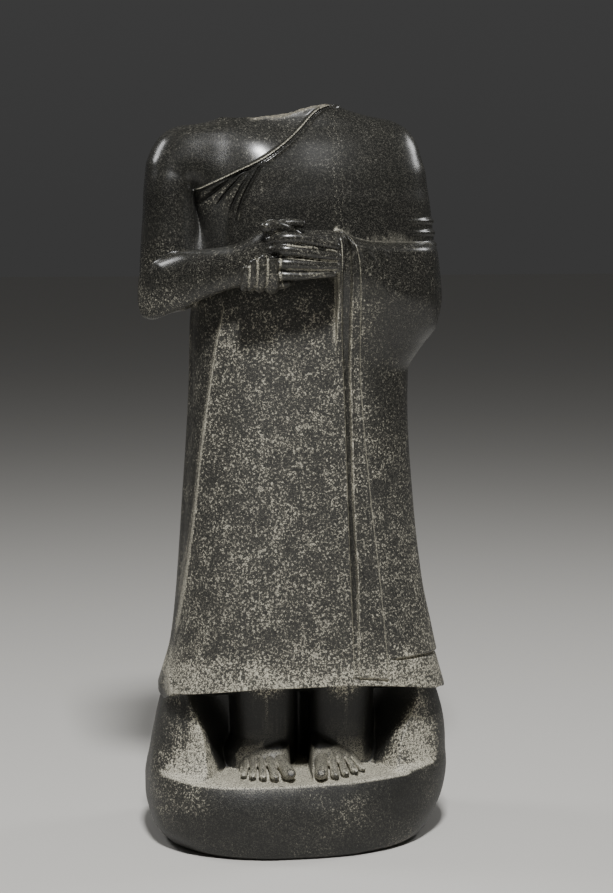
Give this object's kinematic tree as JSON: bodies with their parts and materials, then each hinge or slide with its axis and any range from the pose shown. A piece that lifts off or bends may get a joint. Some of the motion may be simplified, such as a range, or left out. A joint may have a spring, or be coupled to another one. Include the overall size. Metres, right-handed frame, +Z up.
{
  "type": "headless stone ruler statue",
  "caption": "Standing headless ruler in a long draped mantle, hands clasped at the waist, carved with its rounded base from one dark stone.",
  "frame": {"origin": "on the ground under the middle of the statue", "axes": "+Z up, the figure faces -Y, +X towards its draped arm"},
  "size_m": [0.52, 0.3768, 1.2187],
  "materials": {
    "dark_stone": "hard dark speckled stone, polished on the shoulders, arms and hands, worn matt and pale below"
  },
  "bodies": {
    "root": {"statue": "dark_stone"}
  },
  "joints": []
}
